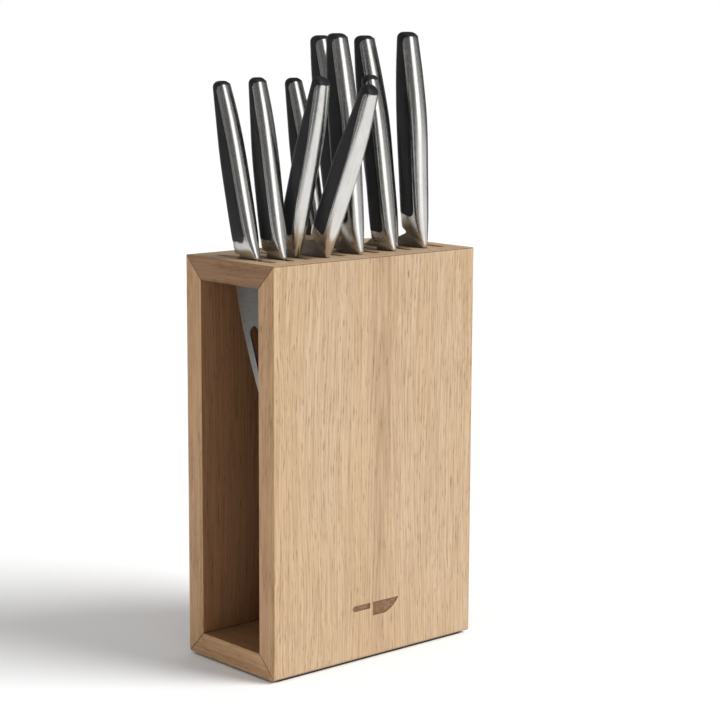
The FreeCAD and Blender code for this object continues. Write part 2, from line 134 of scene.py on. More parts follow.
def plainMaterial(name, colour, roughness):
    material, shader = newMaterial(name)
    shader.inputs["Base Color"].default_value = colour
    shader.inputs["Roughness"].default_value = roughness
    return material


def addNode(tree, kind, settings=None, **inputs):
    # i0, i1 and so on are inputs by number, other words are their names, with _ for a space
    node = tree.nodes.new("ShaderNode" + kind)
    for key, value in (settings or {}).items():
        setattr(node, key, value)
    for key, value in inputs.items():
        numbered = key[0] == "i" and key[1:].isdigit()
        socket = node.inputs[int(key[1:]) if numbered else key.replace("_", " ")]
        if isinstance(value, bpy.types.NodeSocket):
            tree.links.new(value, socket)
        else:
            socket.default_value = value
    return node


def remap(tree, value, low, high, newLow=0.0, newHigh=1.0):
    return addNode(tree, "MapRange", None, Value=value, From_Min=low, From_Max=high,
                   To_Min=newLow, To_Max=newHigh).outputs[0]


def mixValue(tree, factor, first, second):
    return addNode(tree, "Mix", {"data_type": "FLOAT"}, i0=factor, i2=first, i3=second).outputs[0]


def calculate(tree, operation, first, second=0.0, third=None):
    values = {"i0": first, "i1": second}
    if third is not None:
        values["i2"] = third
    return addNode(tree, "Math", {"operation": operation}, **values).outputs[0]


def mixColour(tree, factor, first, second, blend="MIX"):
    node = addNode(tree, "Mix", {"data_type": "RGBA", "blend_type": blend}, i0=factor, i6=first, i7=second)
    return node.outputs[2]


def stretched(tree, vector, scale):
    return addNode(tree, "VectorMath", {"operation": "MULTIPLY"}, i0=vector, i1=scale).outputs[0]


def addBump(tree, shader, height, strength, distance):
    bump = addNode(tree, "Bump", None, Height=height, Strength=strength, Distance=distance)
    tree.links.new(bump.outputs[0], shader.inputs["Normal"])


def mirroredLight(tree):
    direction = addNode(tree, "TexCoord").outputs["Generated"]
    up = addNode(tree, "SeparateXYZ", None, Vector=direction).outputs[2]
    level = stretched(tree, direction, (1.0, 1.0, 0.0))
    heading = addNode(tree, "VectorMath", {"operation": "NORMALIZE"}, i0=level).outputs[0]
    light = remap(tree, up, 0.0, studio["aboveFrom"], studio["horizon"], studio["above"])
    for way, outer, inner, brightness in studio["patches"]:
        near = addNode(tree, "VectorMath", {"operation": "DOT_PRODUCT"}, i0=heading,
                       i1=Vector(way).normalized()).outputs["Value"]
        light = mixValue(tree, remap(tree, near, outer, inner), light, brightness)
    return light


def addStudio():
    deselectAll()
    bpy.ops.mesh.primitive_plane_add(size=studio["floorSize"])
    floor = bpy.context.object
    floor.name = "floor"
    floor.data.materials.append(plainMaterial("paleFloor", studio["floorColour"], studio["floorRoughness"]))
    cardBlack = plainMaterial("cardBlack", studio["cardColour"], studio["cardRoughness"])
    for place, width in studio["cards"]:
        deselectAll()
        bpy.ops.mesh.primitive_plane_add(size=1)
        card = bpy.context.object
        card.name = "darkCard"
        card.scale = (width, studio["cardHeight"], 1)
        aimAt(card, place, (0, 0, place[2]))
        card.data.materials.append(cardBlack)
        card.visible_camera = False
        card.visible_shadow = False
        card.visible_diffuse = False
    deselectAll()
    bpy.ops.object.light_add(type="SUN")
    sun = bpy.context.object
    sun.name = "softSun"
    sun.data.energy = studio["sunStrength"]
    sun.data.angle = math.radians(studio["sunSpread"])
    sun.visible_glossy = False
    aimAt(sun, studio["sunFrom"], (0, 0, 0))
    world = bpy.data.worlds.new("paleStudio")
    scene.world = world
    world.use_nodes = True
    tree = world.node_tree
    path = addNode(tree, "LightPath")
    light = addNode(tree, "Background", None, Color=studio["light"], Strength=studio["strength"])
    mirrored = addNode(tree, "Background", None, Color=(1, 1, 1, 1), Strength=mirroredLight(tree))
    seen = addNode(tree, "Background", None, Color=studio["seen"])
    unseen = addNode(tree, "MixShader", None, i0=path.outputs["Is Glossy Ray"], i1=light.outputs[0],
                     i2=mirrored.outputs[0])
    surface = addNode(tree, "MixShader", None, i0=path.outputs["Is Camera Ray"], i1=unseen.outputs[0],
                      i2=seen.outputs[0])
    tree.links.new(surface.outputs[0], tree.nodes["World Output"].inputs["Surface"])
    scene.view_settings.view_transform = "Standard"


addCamera()
addStudio()
print("camera and studio ready")


def newGroup(name, inputs, outputs):
    group = bpy.data.node_groups.new(name, "ShaderNodeTree")
    for label, kind, value in inputs:
        socket = group.interface.new_socket(label, in_out="INPUT", socket_type="NodeSocket" + kind)
        if value is not None:
            socket.default_value = value
    for label, kind in outputs:
        group.interface.new_socket(label, in_out="OUTPUT", socket_type="NodeSocket" + kind)
    return group, group.nodes.new("NodeGroupInput"), group.nodes.new("NodeGroupOutput")


def useGroup(tree, group, **inputs):
    return addNode(tree, "Group", {"node_tree": group}, **inputs)


# the block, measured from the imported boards, in metres
farLow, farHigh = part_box("far_side_board")
footLow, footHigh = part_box("bottom_board")
topLow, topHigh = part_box("top_board")
blockSize = {
    "halfLength": farHigh.x,
    "halfWidth": farHigh.y,
    "foot": footLow.z,
    "top": topHigh.z,
    "tunnelHalf": farLow.y,
    "tunnelFoot": footHigh.z,
    "tunnelTop": topLow.z,
}


# oak: grain along Z, growth rings cut by the face; distances in metres
oak = {
    "light": (0.522, 0.372, 0.226, 1),
    "dark": (0.368, 0.240, 0.137, 1),
    "pink": (0.522, 0.385, 0.256, 1),
    "pore": (0.200, 0.118, 0.060, 1),
    "burnt": (0.130, 0.062, 0.027, 1),
    "seam": (0.095, 0.052, 0.028, 1),
    "ring": 0.0021,          # width of a growth ring
    "heart": 0.013,          # where the rings' middle runs along X
    "paintedTunnelShade": (0.64, 0.46, 0.345, 1),     # painted shading inside the tunnel, darkening the wood where little light reaches
    "endToneAndPaintedShade": (1.06, 0.90, 0.76, 1),   # ends of the boards, darker and browner: partly the wood's own tone there, partly painted shading
    # the top board's ends, much darker: partly their own tone, partly painted shading
    "topEndToneAndPaintedShade": (0.60, 0.46, 0.37, 1),
    "endLayer": (0.0006, 0.0002),        # depth where the ends' darker tone and painted shading start and where they are full
    "seamWidth": (0.00018, 0.0007),      # full seam and no seam, from the mitre plane
    "seamDepth": 0.75,
    "scorchScale": 700.0,
    "scorch": (0.35, 0.6, 0.72, 0.95),
    "specular": 0.35,
    "bump": (0.3, 0.0003),
}
# noises as (stretch along the grain, scale, detail, roughness), ranges as (low, high, what each gives)
grain = {
    "wave": (0.22, 24.0, 2.0, 0.45),     # slow waves that bend the grain
    "waveReach": (0.016, 0.016, 0.0),
    "heartTilt": 0.035,                  # the heart line tilts away below the face
    "heartDepth": 0.0065,
    "uneven": (0.06, 170.0, 2.0, 0.5),   # makes the rings uneven
    "unevenTurns": 7.0,
    "streaks": (0.018, 620.0, 3.0, 0.62),
    "fibres": (0.02, 2100.0, 2.0, 0.6),
    "pores": (0.075, 1400.0, 1.5, 0.5),
    "clouds": (0.10, 42.0, 2.0, 0.5),
    "poreRange": (0.56, 0.70),
    "poreInRing": (0.2, 0.9, 0.25, 1.0),
    "poreDark": 0.75,
    "heartGlow": (0.002, 0.016, 0.42, 0.0),
    "glowPatches": (0.35, 0.6),
    "glowLess": 0.10,
    "ringShare": 0.26,
    "streakShare": (0.30, 0.70, -0.22, 0.72),
    "fibreShare": (0.3, 0.7, -0.10, 0.28),
    "pinkPatches": (0.36, 0.62),
    "roughness": (0.3, 0.7, 0.46, 0.60),
    "fibreHeight": 0.35,
}


def grainNoise(tree, vector, kind):
    along, scale, detail, roughness = grain[kind]
    return addNode(tree, "TexNoise", None, Vector=stretched(tree, vector, (1.0, 1.0, along)), Scale=scale,
                   Detail=detail, Roughness=roughness)


def makeOakGroup():
    group, given, result = newGroup(
        "oakFigure",
        [("Vector", "Vector", None), ("Shift", "Float", 0.0), ("Heart", "Float", oak["heart"])],
        [("Colour", "Color"), ("Roughness", "Float"), ("Height", "Float")])
    shift = given.outputs["Shift"]
    place = addNode(group, "VectorMath", {"operation": "ADD"}, i0=given.outputs["Vector"],
                    i1=addNode(group, "CombineXYZ", None, Y=shift, Z=shift).outputs[0]).outputs[0]
    wave = grainNoise(group, place, "wave")
    bend = addNode(group, "VectorMath", {"operation": "MULTIPLY_ADD"}, i0=wave.outputs["Color"],
                   i1=grain["waveReach"], i2=place).outputs[0]
    parts = addNode(group, "SeparateXYZ", None, Vector=bend)
    # distance from the heart line
    aside = calculate(group, "SUBTRACT", parts.outputs[0], given.outputs["Heart"])
    level = addNode(group, "SeparateXYZ", None, Vector=given.outputs["Vector"]).outputs[2]
    below = calculate(group, "MULTIPLY_ADD", level, grain["heartTilt"], grain["heartDepth"])
    squares = [calculate(group, "POWER", value, 2.0) for value in (aside, below)]
    radius = calculate(group, "SQRT", calculate(group, "ADD", *squares))
    turns = calculate(group, "DIVIDE", radius, oak["ring"] / (2 * math.pi))
    uneven = grainNoise(group, bend, "uneven").outputs[0]
    turns = calculate(group, "MULTIPLY_ADD", uneven, grain["unevenTurns"], turns)
    rings = remap(group, calculate(group, "SINE", turns), -1.0, 1.0)
    streaks = grainNoise(group, bend, "streaks").outputs[0]
    fibres = grainNoise(group, bend, "fibres").outputs[0]
    pores = grainNoise(group, bend, "pores").outputs[0]
    clouds = grainNoise(group, bend, "clouds").outputs[0]
    poreMask = calculate(group, "MULTIPLY", remap(group, pores, *grain["poreRange"]),
                         remap(group, rings, *grain["poreInRing"]))
    heartGlow = remap(group, calculate(group, "ABSOLUTE", aside), *grain["heartGlow"])
    heartGlow = calculate(group, "MULTIPLY", heartGlow, remap(group, clouds, *grain["glowPatches"]))
    figure = calculate(group, "MULTIPLY", rings, grain["ringShare"])
    figure = calculate(group, "ADD", figure, remap(group, streaks, *grain["streakShare"]))
    figure = calculate(group, "ADD", figure, remap(group, fibres, *grain["fibreShare"]))
    figure = calculate(group, "ADD", figure, calculate(group, "SUBTRACT", heartGlow, grain["glowLess"]))
    tan = mixColour(group, figure, oak["light"], oak["dark"])
    pink = mixColour(group, figure, oak["pink"], oak["dark"])
    colour = mixColour(group, remap(group, clouds, *grain["pinkPatches"]), tan, pink)
    colour = mixColour(group, calculate(group, "MULTIPLY", poreMask, grain["poreDark"]), colour, oak["pore"])
    raised = calculate(group, "MULTIPLY", fibres, grain["fibreHeight"])
    height = calculate(group, "SUBTRACT", raised, poreMask)
    group.links.new(colour, result.inputs["Colour"])
    group.links.new(remap(group, streaks, *grain["roughness"]), result.inputs["Roughness"])
    group.links.new(height, result.inputs["Height"])
    return group


oakGroup = makeOakGroup()


def insideBox(tree, parts, limits):
    # 1 inside the box of (low, high) per axis, 0 outside
    inside = 1.0
    for axis, (low, high) in enumerate(limits):
        for test, limit in (("GREATER_THAN", low), ("LESS_THAN", high)):
            passed = calculate(tree, test, parts.outputs[axis], limit)
            inside = calculate(tree, "MULTIPLY", inside, passed)
    return inside


def mitreMask(tree, parts):
    # 1 on the mitre planes, which run from the long edges of the block to those of the tunnel
    side = calculate(tree, "SUBTRACT", blockSize["halfWidth"], calculate(tree, "ABSOLUTE", parts.outputs[1]))
    middle = (blockSize["foot"] + blockSize["top"]) / 2
    rise = calculate(tree, "SUBTRACT", parts.outputs[2], middle)
    depth = calculate(tree, "SUBTRACT", blockSize["top"] - middle, calculate(tree, "ABSOLUTE", rise))
    off = calculate(tree, "ABSOLUTE", calculate(tree, "SUBTRACT", side, depth))
    return remap(tree, off, *oak["seamWidth"], oak["seamDepth"], 0.0)


def oakMaterial(name, turn, shift, heart, endToneAndPaintedShade=oak["endToneAndPaintedShade"], scorched=None):
    material, shader = newMaterial(name)
    tree = material.node_tree
    place = addNode(tree, "TexCoord").outputs["Object"]
    parts = addNode(tree, "SeparateXYZ", None, Vector=place)
    turned = addNode(tree, "Mapping", None, Vector=place, Rotation=turn).outputs[0]
    figure = useGroup(tree, oakGroup, Vector=turned, Shift=shift, Heart=heart)
    colour = figure.outputs["Colour"]
    slack = 0.0001
    tunnel = [(-1.0, 1.0), (-blockSize["tunnelHalf"] - slack, blockSize["tunnelHalf"] + slack),
              (blockSize["tunnelFoot"] - slack, blockSize["tunnelTop"] + slack)]
    # painted shading: the inside of the tunnel is darkened in the wood's colour
    colour = mixColour(tree, insideBox(tree, parts, tunnel), colour,
                       mixColour(tree, 1.0, colour, oak["paintedTunnelShade"], "MULTIPLY"))
    # board ends darker and browner: partly the wood's own tone, partly painted shading
    endStart, endFull = [blockSize["halfLength"] - depth for depth in oak["endLayer"]]
    ends = remap(tree, calculate(tree, "ABSOLUTE", parts.outputs[0]), endStart, endFull)
    colour = mixColour(tree, ends, colour, mixColour(tree, 1.0, colour, endToneAndPaintedShade, "MULTIPLY"))
    colour = mixColour(tree, mitreMask(tree, parts), colour, oak["seam"])
    if scorched:
        speckle = addNode(tree, "TexNoise", None, Vector=place, Scale=oak["scorchScale"], Detail=2.0)
        burn = calculate(tree, "MULTIPLY", insideBox(tree, parts, scorched),
                         remap(tree, speckle.outputs[0], *oak["scorch"]))
        colour = mixColour(tree, burn, colour, oak["burnt"])
    tree.links.new(colour, shader.inputs["Base Color"])
    tree.links.new(figure.outputs["Roughness"], shader.inputs["Roughness"])
    addBump(tree, shader, figure.outputs["Height"], *oak["bump"])
    shader.inputs["Specular IOR Level"].default_value = oak["specular"]
    return material


# steel and plastic
steel = {
    "broad": 60.0,          # scale of the clouds
    "share": (0.7, 0.3),    # how much of the wear is lines and how much clouds
    "worn": (0.35, 0.65),
    "bolster": {"colour": (0.74, 0.73, 0.71), "dull": (0.58, 0.565, 0.545), "stretch": (1, 1, 0.012),
                "fineness": 2600.0, "roughness": (0.22, 0.29), "bump": 0.006},
    "blade": {"colour": (0.42, 0.405, 0.385), "dull": (0.30, 0.286, 0.268), "stretch": (1, 0.02, 1),
              "fineness": 2200.0, "roughness": (0.26, 0.36), "bump": 0.02},
}


def makeBrushGroup():
    group, given, result = newGroup(
        "brushLines",
        [("Vector", "Vector", None), ("Stretch", "Vector", (1, 1, 0.01)), ("Fineness", "Float", 2500.0)],
        [("Lines", "Float"), ("Clouds", "Float")])
    lines = stretched(group, given.outputs["Vector"], given.outputs["Stretch"])
    fine = addNode(group, "TexNoise", None, Vector=lines, Scale=given.outputs["Fineness"], Detail=3.0,
                   Roughness=0.65)
    broad = addNode(group, "TexNoise", None, Vector=given.outputs["Vector"], Scale=steel["broad"], Detail=2.0)
    group.links.new(fine.outputs[0], result.inputs["Lines"])
    group.links.new(broad.outputs[0], result.inputs["Clouds"])
    return group


brushGroup = makeBrushGroup()


def steelMaterial(name, finish, lean):
    look = steel[finish]
    material, shader = newMaterial(name)
    tree = material.node_tree
    place = addNode(tree, "TexCoord").outputs["Object"]
    turned = addNode(tree, "Mapping", None, Vector=place, Rotation=(lean, 0, 0)).outputs[0]
    brush = useGroup(tree, brushGroup, Vector=turned, Stretch=look["stretch"], Fineness=look["fineness"])
    lineShare, cloudShare = steel["share"]
    clouds = calculate(tree, "MULTIPLY", brush.outputs["Clouds"], cloudShare)
    worn = calculate(tree, "MULTIPLY_ADD", brush.outputs["Lines"], lineShare, clouds)
    colour = mixColour(tree, remap(tree, worn, *steel["worn"]), (*look["colour"], 1), (*look["dull"], 1))
    tree.links.new(colour, shader.inputs["Base Color"])
    tree.links.new(remap(tree, worn, *steel["worn"], *look["roughness"]), shader.inputs["Roughness"])
    addBump(tree, shader, brush.outputs["Lines"], look["bump"], 0.1 * mm)
    shader.inputs["Metallic"].default_value = 1.0
    return material


grip = {"colour": (0.0085, 0.009, 0.0105, 1), "paler": (0.015, 0.0155, 0.018, 1), "roughness": (0.40, 0.52),
        "grain": 2400.0, "bump": 0.25}
rubber = {"colour": (0.018, 0.017, 0.016, 1), "paler": (0.04, 0.038, 0.035, 1), "roughness": (0.75, 0.9),
          "grain": 900.0, "bump": 0.6}


def grainyMaterial(name, look):
    material, shader = newMaterial(name)
    tree = material.node_tree
    place = addNode(tree, "TexCoord").outputs["Object"]
    fine = addNode(tree, "TexNoise", None, Vector=place, Scale=look["grain"], Detail=2.0).outputs[0]
    broad = addNode(tree, "TexNoise", None, Vector=place, Scale=90.0, Detail=3.0).outputs[0]
    tree.links.new(mixColour(tree, remap(tree, broad, 0.3, 0.7), look["colour"], look["paler"]),
                   shader.inputs["Base Color"])
    tree.links.new(remap(tree, broad, 0.3, 0.7, *look["roughness"]), shader.inputs["Roughness"])
    addBump(tree, shader, fine, look["bump"], 0.1 * mm)
    return material


gripMaterial = grainyMaterial("gripPlastic", grip)
rubberMaterial = grainyMaterial("padRubber", rubber)
print("materials ready")


# boards: copies of the fixed ones, merged and with eased edges
boards = {
    "ease": 0.35,           # round on the long edges
    "sharp": 40,            # degrees: an edge sharper than this is eased
    "markRise": 33.5,       # middle of the engraved knife above the floor
    "markHalf": (21.0, 5.5),
    "flat": 0.6,            # degrees: faces closer than this are merged
    "smooth": 30,           # degrees: shaded smooth below this
}


def setMaterial(piece, material):
    piece.data.materials.clear()
    piece.data.materials.append(material)


def copyOf(form, name):
    piece = form.copy()
    piece.data = form.data.copy()
    piece.name = name
    scene.collection.objects.link(piece)
    return piece


def easeEdges(piece, width, wanted):
    # Bevels the sharp edges whose middle is wanted.
    pick(piece)
    bpy.ops.object.mode_set(mode="EDIT")
    bpy.ops.mesh.select_all(action="DESELECT")
    bpy.ops.mesh.select_mode(type="EDGE")
    bpy.ops.object.mode_set(mode="OBJECT")
    owners = {}
    for face in piece.data.polygons:
        for key in face.edge_keys:
            owners.setdefault(tuple(sorted(key)), []).append(face.normal.copy())
    limit = math.cos(math.radians(boards["sharp"]))
    for edge in piece.data.edges:
        normals = owners.get(tuple(sorted(edge.vertices)), [])
        middle = sum((piece.data.vertices[i].co for i in edge.vertices), Vector()) / 2
        edge.select = len(normals) == 2 and normals[0].dot(normals[1]) < limit and wanted(middle)
    bpy.ops.object.mode_set(mode="EDIT")
    bpy.ops.mesh.bevel(offset=width, segments=2, affect="EDGES", clamp_overlap=True)
    bpy.ops.object.mode_set(mode="OBJECT")


def awayFromMark(middle):
    return not all(mark[axis][0] < middle[axis] < mark[axis][1] for axis in (0, 2))


def finishBoard(name, material, eased=lambda middle: True):
    piece = copyOf(nodes[name], name + "_eased")
    for key in [k for k in piece.keys() if k.startswith("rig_")]:
        del piece[key]
    piece.parent = None
    pick(piece)
    bpy.ops.object.mode_set(mode="EDIT")
    bpy.ops.mesh.select_all(action="SELECT")
    bpy.ops.mesh.remove_doubles(threshold=1e-6)
    bpy.ops.mesh.dissolve_limited(angle_limit=math.radians(boards["flat"]))
    bpy.ops.object.mode_set(mode="OBJECT")
    easeEdges(piece, boards["ease"] * mm, eased)
    bpy.ops.object.shade_smooth_by_angle(angle=math.radians(boards["smooth"]))
    applyModifier(piece, "WEIGHTED_NORMAL", keep_sharp=True)
    setMaterial(piece, material)
    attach(piece, "block")
    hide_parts(name)


quarter = math.pi / 2
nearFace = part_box("near_side_board")[0].y
markZ = boards["markRise"] * mm
mark = [(-boards["markHalf"][0] * mm, boards["markHalf"][0] * mm), (nearFace + 0.0001, nearFace + 0.001),
        (markZ - boards["markHalf"][1] * mm, markZ + boards["markHalf"][1] * mm)]
finishBoard("near_side_board", oakMaterial("oakNearSide", (0, 0, 0), 0.0, oak["heart"], scorched=mark),
            awayFromMark)
finishBoard("far_side_board", oakMaterial("oakFarSide", (0, 0, 0), 7.4, -0.03))
finishBoard("top_board", oakMaterial("oakTop", (quarter, 0, 0), 3.3, 0.2, oak["topEndToneAndPaintedShade"]))
finishBoard("bottom_board", oakMaterial("oakBottom", (quarter, 0, 0), 5.7, -0.2))
setMaterial(nodes["base_pad"], rubberMaterial)
print("boards ready")


# handles, in their own frame: tip of the bolster at the origin, spine at Y 0, belly at +Y, butt at +Z
handles = {
    "long": {
        "length": 141.5, "width": 22.6, "thickness": 13.2, "strip": 6.3,
        "gripStart": 20.0, "gripSlant": 4.0, "bolsterRise": 16.5,
        # height, spine's set-in, width, thickness, as shares
        "stations": [(0.00, 0.00, 0.92, 0.25), (0.06, 0.00, 0.93, 0.54), (0.14, 0.00, 0.94, 0.80),
                     (0.33, 0.00, 0.97, 0.93), (0.58, 0.01, 1.00, 1.00), (0.80, 0.15, 0.85, 0.95),
                     (1.02, 0.36, 0.56, 0.81)],
    },
    "short": {
        "length": 115.5, "width": 19.9, "thickness": 12.0, "strip": 5.5,
        "gripStart": 12.0, "gripSlant": 3.0, "bolsterRise": 8.0,
        "stations": [(0.00, 0.00, 1.00, 0.27), (0.06, 0.00, 1.00, 0.58), (0.14, 0.00, 1.00, 0.83),
                     (0.33, 0.00, 0.98, 0.96), (0.58, 0.015, 0.93, 1.00), (0.80, 0.09, 0.76, 0.93),
                     (1.02, 0.26, 0.50, 0.78)],
    },
}
handleShape = {
    "toe": 2.8,             # flat tip of the bolster
    "corner": 3.0,          # round at the foot of the grip beside the strip
    "bend": 0.60,           # where the strip starts to follow the spine
    "buttSlant": 2.2,
    "stripDrop": 1.5,       # strip's end below the butt
    "stripArch": 5.2,       # fall of the strip's end from the spine to the cheeks
    "spineRound": 0.42,     # round of the spine along the cheeks and across, as shares of the thickness
    "spineCrown": 0.485,
    "bellyRound": 0.42,
    "seam": 0.07,           # hairline between strip and grip
    "rim": 0.45,            # eased edge along the seam
    "rimBow": 0.3,          # its middle, as a share
    "toeEase": 0.25,
    "footEase": 0.4,
    "buttRound": 3.2,
    "buttDome": 5.0,        # fall of the butt away from its highest line
    "buttPeak": 0.60,       # highest line, as a share from spine to belly
    "buttSink": 0.95,       # highest line below the handle's full length
    "capRings": (0.45, 0.85),
    "bolsterRows": 10,
    "gripRows": 30,
    "smooth": 35,           # degrees: shaded smooth below this
}


def between(stations, share):
    # smooth curve through the stations
    last = len(stations) - 1
    index = max(i for i in range(last) if i == 0 or stations[i][0] <= share)
    low, high = stations[index], stations[index + 1]
    before, after = stations[max(index - 1, 0)], stations[min(index + 2, last)]
    span = high[0] - low[0]
    t = (share - low[0]) / span
    found = []
    for k in (1, 2, 3):
        slopeLow = (high[k] - before[k]) / (high[0] - before[0])
        slopeHigh = (after[k] - low[k]) / (after[0] - low[0])
        found.append((2 * t ** 3 - 3 * t ** 2 + 1) * low[k] + (t ** 3 - 2 * t ** 2 + t) * span * slopeLow
                     + (3 * t ** 2 - 2 * t ** 3) * high[k] + (t ** 3 - t ** 2) * span * slopeHigh)
    return found


def sectionAt(size, z):
    setIn, wide, thick = between(size["stations"], z / size["length"])
    spine = setIn * size["width"]
    return spine, spine + wide * size["width"], thick * size["thickness"] / 2


def seamAt(size, z):
    past = z / size["length"] - handleShape["bend"]
    lean = size["stations"][-1][1] * size["width"]
    return size["strip"] + max(past, 0) / (1 - handleShape["bend"]) * lean


def toeLine(size, y):
    toe = handleShape["toe"]
    return size["bolsterRise"] * max(y - toe, 0) / (size["width"] - toe)


def footLine(size, y):
    corner = handleShape["corner"]
    past = y - size["strip"]
    rise = size["gripSlant"] * max(past - corner, 0) / (size["width"] - size["strip"] - corner)
    short = min(max(corner - past, 0), corner)
    return size["gripStart"] + rise + corner - math.sqrt(corner ** 2 - short ** 2)


def stripLine(size, y):
    end = size["length"] - handleShape["stripDrop"] - handleShape["buttSlant"]
    spine = sectionAt(size, end)[0]
    seam = seamAt(size, end - handleShape["stripArch"])
    t = min(max((y - spine) / (seam - spine), 0), 1)
    return end - handleShape["stripArch"] * (1 - math.sqrt(1 - t * t))


def buttLine(size, y):
    spine, belly = sectionAt(size, size["length"])[:2]
    away = (y - spine) / (belly - spine) - handleShape["buttPeak"]
    return size["length"] - handleShape["buttSink"] - handleShape["buttDome"] * away ** 2


def arc(centre, reach, start, end, steps):
    # part of an ellipse that reaches so far across and up from its centre
    turns = [math.radians(start + (end - start) * i / steps) for i in range(steps + 1)]
    return [(centre[0] + reach[0] * math.cos(a), centre[1] + reach[1] * math.sin(a)) for a in turns]


def outline(size, z, mode):
    # Points once round the section, from the +X seam over the spine to the -X seam, then back over the belly.
    # mode "full": both outside. "strip": only the spine's side. "grip": only the belly's side.
    spine, belly, half = sectionAt(size, z)
    seam = seamAt(size, z)
    rim, gap = handleShape["rim"], handleShape["seam"] / 2
    bow = handleShape["rimBow"] * rim
    tight, wide = 2 * handleShape["spineRound"] * half, 2 * handleShape["bellyRound"] * half
    if mode == "strip":
        start = [(half - rim, seam - gap), (half - bow, seam - gap - bow), (half, seam - gap - rim)]
    else:
        start = [(half, seam), (half, seam - 0.5 * rim), (half, seam - rim)]
    side = start + [(half, (seam + spine + tight) / 2)]
    crown = 2 * handleShape["spineCrown"] * half
    side += arc((half - crown, spine + tight), (crown, tight), 0, -90, 8)
    side += [((half - crown) / 3, spine)]
    nearSide = side + [(-x, y) for x, y in reversed(side)]
    if mode == "grip":
        start = [(half - rim, seam + gap), (half - bow, seam + gap + bow), (half, seam + gap + rim)]
    else:
        start = [(half, seam + 0.01), (half, seam + 0.5 * rim), (half, seam + rim)]
    low, high = seam + rim, belly - wide
    side = start + [(half, low + (high - low) * k / 4) for k in (1, 2, 3)]
    side += arc((half - wide, belly - wide), (wide, wide), 0, 90, 7)
    side += [((half - wide) / 3, belly)]
    farSide = [(-x, y) for x, y in side] + list(reversed(side))
    if mode == "grip":
        count = len(nearSide) - 1
        inner = half - rim
        nearSide = [(inner - 2 * inner * i / count, seam + gap) for i in range(count + 1)]
    if mode == "strip":
        count = len(farSide) - 1
        inner = half - rim
        farSide = [(-inner + 2 * inner * i / count, seam - gap) for i in range(count + 1)]
    return nearSide + farSide


def ring(size, mode, line, shrink=0.0):
    # One ring whose points lie on a line of heights, line(y), pulled in by shrink.
    found = []
    for column in range(len(outline(size, size["gripStart"], mode))):
        z = line(size["width"] / 2)
        for attempt in range(4):        # the height settles within a few rounds
            x, y = outline(size, z, mode)[column]
            z = line(y)
        found.append((x, y, z))
    if shrink:
        across = max(p[0] for p in found)
        low, high = min(p[1] for p in found), max(p[1] for p in found)
        middle, reach = (low + high) / 2, (high - low) / 2
        narrow, short = 1 - shrink / across, 1 - shrink / reach
        drawn = [(x * narrow, middle + (y - middle) * short) for x, y, z in found]
        found = [(x, y, line(y)) for x, y in drawn]
    return found


def roundedEnd(size, mode, line, radius, steps, upwards):
    # Rings that turn in from a wall to its end face, in order from bottom to top.
    found = []
    for step in range(steps + 1):
        turn = math.pi / 2 * step / steps
        inward = radius * (1 - math.cos(turn))
        sink = radius * (1 - math.sin(turn))
        sign = -1 if upwards else 1
        found.append(ring(size, mode, lambda y: line(y) + sign * sink, inward))
    return found if upwards else list(reversed(found))


def blend(lineA, lineB, share):
    return lambda y: lineA(y) * (1 - share) + lineB(y) * share


def steelRings(size):
    toeEase, footEase = handleShape["toeEase"], handleShape["footEase"]
    low = lambda y: toeLine(size, y) + toeEase
    foot = lambda y: footLine(size, y)
    start = lambda y: size["gripStart"] + handleShape["corner"]
    top = lambda y: stripLine(size, y)
    under = lambda y: top(y) - footEase
    rings = roundedEnd(size, "full", lambda y: toeLine(size, y), toeEase, 2, False)
    bolsterRows, gripRows = handleShape["bolsterRows"], handleShape["gripRows"]
    rings += [ring(size, "full", blend(low, foot, i / bolsterRows)) for i in range(1, bolsterRows + 1)]
    rings += [ring(size, "strip", start)]
    rings += [ring(size, "strip", blend(start, under, i / gripRows)) for i in range(1, gripRows)]
    rings += roundedEnd(size, "strip", top, footEase, 3, True)
    return rings


def gripRings(size):
    gap, ease, butt = handleShape["seam"], handleShape["footEase"], handleShape["buttRound"]
    foot = lambda y: footLine(size, y) + gap
    low = lambda y: foot(y) + ease
    top = lambda y: stripLine(size, y) + gap
    end = lambda y: buttLine(size, y)
    under = lambda y: end(y) - butt
    rings = roundedEnd(size, "grip", foot, ease, 3, False)
    gripRows = handleShape["gripRows"]
    rings += [ring(size, "grip", blend(low, top, i / gripRows)) for i in range(1, gripRows + 1)]
    rings += [ring(size, "full", top)]
    rings += [ring(size, "full", blend(top, under, 0.5))]
    rings += roundedEnd(size, "full", end, butt, 7, True)
    spine, belly, half = sectionAt(size, size["length"])
    rest = min(half, (belly - spine) / 2) - butt
    rings += [ring(size, "full", end, butt + rest * share) for share in handleShape["capRings"]]
    return rings


def ringForm(name, rings):
    # A closed cylinder, bisected into rings one unit apart, whose rings then go to their places.
    around = len(rings[0])
    deselectAll()
    bpy.ops.mesh.primitive_cylinder_add(vertices=around, radius=1, depth=len(rings) - 1,
                                        location=(0, 0, (len(rings) - 1) / 2))
    piece = bpy.context.object
    piece.name = name
    bpy.ops.object.transform_apply(location=True, rotation=True, scale=True)
    bpy.ops.object.mode_set(mode="EDIT")
    for level in range(1, len(rings) - 1):
        bpy.ops.mesh.select_all(action="SELECT")
        bpy.ops.mesh.bisect(plane_co=(0, 0, level), plane_no=(0, 0, 1))
    bpy.ops.object.mode_set(mode="OBJECT")
    step = 2 * math.pi / around
    for vertex in piece.data.vertices:
        column = round(math.atan2(vertex.co.x, vertex.co.y) / step) % around
        vertex.co = Vector(rings[round(vertex.co.z)][column]) * mm
    bpy.ops.object.mode_set(mode="EDIT")
    bpy.ops.mesh.select_all(action="SELECT")
    bpy.ops.mesh.normals_make_consistent(inside=False)
    bpy.ops.object.mode_set(mode="OBJECT")
    return piece


